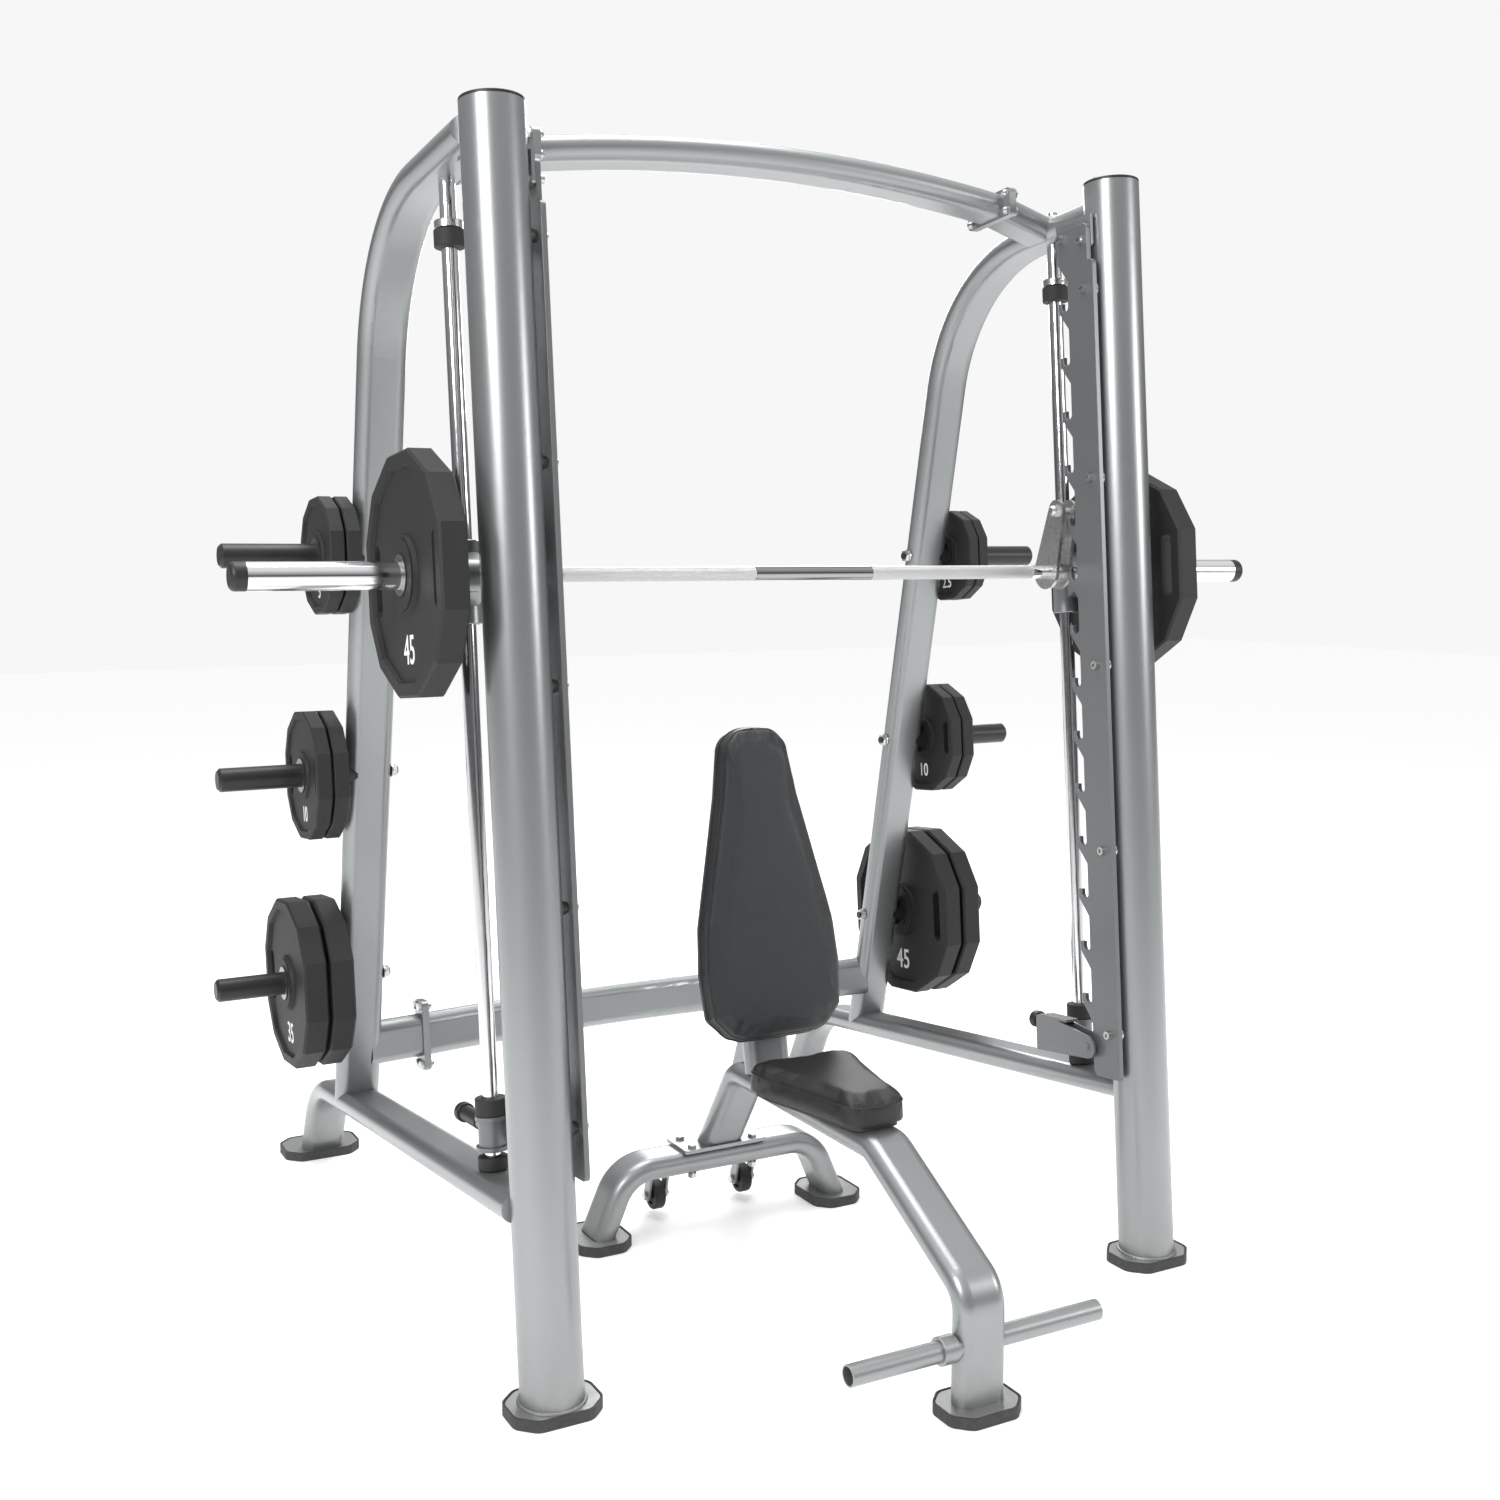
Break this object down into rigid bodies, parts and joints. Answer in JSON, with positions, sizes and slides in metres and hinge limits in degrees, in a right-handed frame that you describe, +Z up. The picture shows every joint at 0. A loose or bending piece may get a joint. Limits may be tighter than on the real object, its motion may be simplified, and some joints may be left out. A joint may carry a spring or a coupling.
{
  "type": "smith machine with bench",
  "caption": "Leaning guided-barbell machine with rack pockets, safety stops, plate storage pegs, rubber weight plates and an upright utility bench.",
  "frame": {"origin": "centre of the footprint on the floor, midway between the outermost points in X and Y", "axes": "+Z up; +Y towards the rear, where the plates are stored; +X to the right seen from the front"},
  "size_m": [2.246, 1.978, 2.2851],
  "materials": {
    "silver_paint": "satin powder coat",
    "rack_paint": "dark satin coat",
    "chrome": "polished",
    "steel": "zinc plated",
    "plate_rubber": "matt moulded",
    "black_plastic": "fine grain",
    "peg_black": "black coat",
    "black_rubber": "matt",
    "vinyl": "grained vinyl",
    "board": "black-stained board"
  },
  "bodies": {
    "frame": {"front_post_left": "silver_paint", "front_post_right": "silver_paint", "post_caps": "black_plastic", "front_foot_plates": "silver_paint", "front_foot_boots": "black_rubber", "rear_foot_plates": "silver_paint", "rear_foot_boots": "black_rubber", "base_rail_left": "silver_paint", "base_rail_right": "silver_paint", "side_frame_left": "silver_paint", "side_frame_right": "silver_paint", "top_crossbar": "silver_paint", "rear_crossbar": "silver_paint", "flange_bolts": "steel", "guide_rods": "chrome", "stop_rubbers": "black_rubber", "upper_stop_collars": "steel", "rack_plate_left": "rack_paint", "rack_plate_right": "rack_paint", "rack_spacers": "steel", "rack_bolts": "steel", "storage_pegs": "peg_black", "frame_nuts": "steel"},
    "carriage": {"carriage_left": "silver_paint", "carriage_right": "silver_paint", "linear_bearings": "steel", "bar_bearings": "steel"},
    "bar": {"bar_shaft": "chrome", "bar_sleeves": "chrome", "bar_end_caps": "black_plastic", "lock_hooks": "steel", "hook_pins": "steel"},
    "stop_left": {"safety_stop_left": "rack_paint", "stop_pad_left": "black_rubber"},
    "stop_right": {"safety_stop_right": "rack_paint", "stop_pad_right": "black_rubber"},
    "knob_left": {"stop_knob_left": "black_plastic"},
    "knob_right": {"stop_knob_right": "black_plastic"},
    "bar_plate_left": {"bar_plate_left": "plate_rubber"},
    "bar_plate_right": {"bar_plate_right": "plate_rubber"},
    "stored_5s_left": {"stored_5s_left": "plate_rubber"},
    "stored_10s_left": {"stored_10s_left": "plate_rubber"},
    "stored_35s_left": {"stored_35s_left": "plate_rubber"},
    "stored_2p5s_right": {"stored_2p5s_right": "plate_rubber"},
    "stored_10s_right": {"stored_10s_right": "plate_rubber"},
    "stored_45s_right": {"stored_45s_right": "plate_rubber"},
    "bench": {"bench_beam": "silver_paint", "backrest_post": "silver_paint", "bench_arch": "silver_paint", "foot_bar": "silver_paint", "seat_pad": "vinyl", "back_pad": "vinyl", "pad_boards": "board", "bench_foot_plates": "silver_paint", "bench_foot_boots": "black_rubber", "bench_bolts": "steel", "wheel_brackets": "silver_paint"},
    "bench_wheel_left": {"bench_wheel_left": "black_rubber"},
    "bench_wheel_right": {"bench_wheel_right": "black_rubber"}
  },
  "joints": [
    {"name": "bar_lift", "type": "slide", "parent": "frame", "child": "carriage", "axis": [0, 0.0872, 0.9962], "range_m": [-0.86, 0.4468]},
    {"name": "bar_twist", "type": "hinge", "parent": "carriage", "child": "bar", "pos_m": [0, -0.317, 1.44575], "axis": [1, 0, 0], "range_deg": [-25, 14]},
    {"name": "stop_slide_left", "type": "slide", "parent": "frame", "child": "stop_left", "axis": [0, 0.0872, 0.9962], "range_m": [0, 0.78]},
    {"name": "knob_pull_left", "type": "slide", "parent": "stop_left", "child": "knob_left", "axis": [0, 0.9962, -0.0872], "range_m": [0, 0.012], "stiffness_N_per_m": 900, "springref_m": -0.01},
    {"name": "bar_plate_left_off", "type": "slide", "parent": "bar", "child": "bar_plate_left", "axis": [-1, 0, 0], "range_m": [-0.022, 0.34]},
    {"name": "stop_slide_right", "type": "slide", "parent": "frame", "child": "stop_right", "axis": [0, 0.0872, 0.9962], "range_m": [0, 0.78]},
    {"name": "knob_pull_right", "type": "slide", "parent": "stop_right", "child": "knob_right", "axis": [0, 0.9962, -0.0872], "range_m": [0, 0.012], "stiffness_N_per_m": 900, "springref_m": -0.01},
    {"name": "bar_plate_right_off", "type": "slide", "parent": "bar", "child": "bar_plate_right", "axis": [1, 0, 0], "range_m": [0, 0.36]},
    {"name": "stored_5s_left_off", "type": "slide", "parent": "frame", "child": "stored_5s_left", "axis": [-1, 0, 0], "range_m": [0, 0.26]},
    {"name": "stored_10s_left_off", "type": "slide", "parent": "frame", "child": "stored_10s_left", "axis": [-1, 0, 0], "range_m": [-0.015, 0.25]},
    {"name": "stored_35s_left_off", "type": "slide", "parent": "frame", "child": "stored_35s_left", "axis": [-1, 0, 0], "range_m": [0, 0.26]},
    {"name": "stored_2p5s_right_off", "type": "slide", "parent": "frame", "child": "stored_2p5s_right", "axis": [1, 0, 0], "range_m": [0, 0.26]},
    {"name": "stored_10s_right_off", "type": "slide", "parent": "frame", "child": "stored_10s_right", "axis": [1, 0, 0], "range_m": [0, 0.26]},
    {"name": "stored_45s_right_off", "type": "slide", "parent": "frame", "child": "stored_45s_right", "axis": [1, 0, 0], "range_m": [0, 0.26]},
    {"name": "bench_slide", "type": "slide", "parent": "frame", "child": "bench", "axis": [0, 1, 0], "range_m": [-0.1, 0.25]},
    {"name": "bench_wheel_left_spin", "type": "hinge", "parent": "bench", "child": "bench_wheel_left", "pos_m": [-0.135, 0.141, 0.048], "axis": [1, 0, 0], "continuous": true},
    {"name": "bench_wheel_right_spin", "type": "hinge", "parent": "bench", "child": "bench_wheel_right", "pos_m": [0.085, 0.141, 0.048], "axis": [1, 0, 0], "continuous": true}
  ]
}
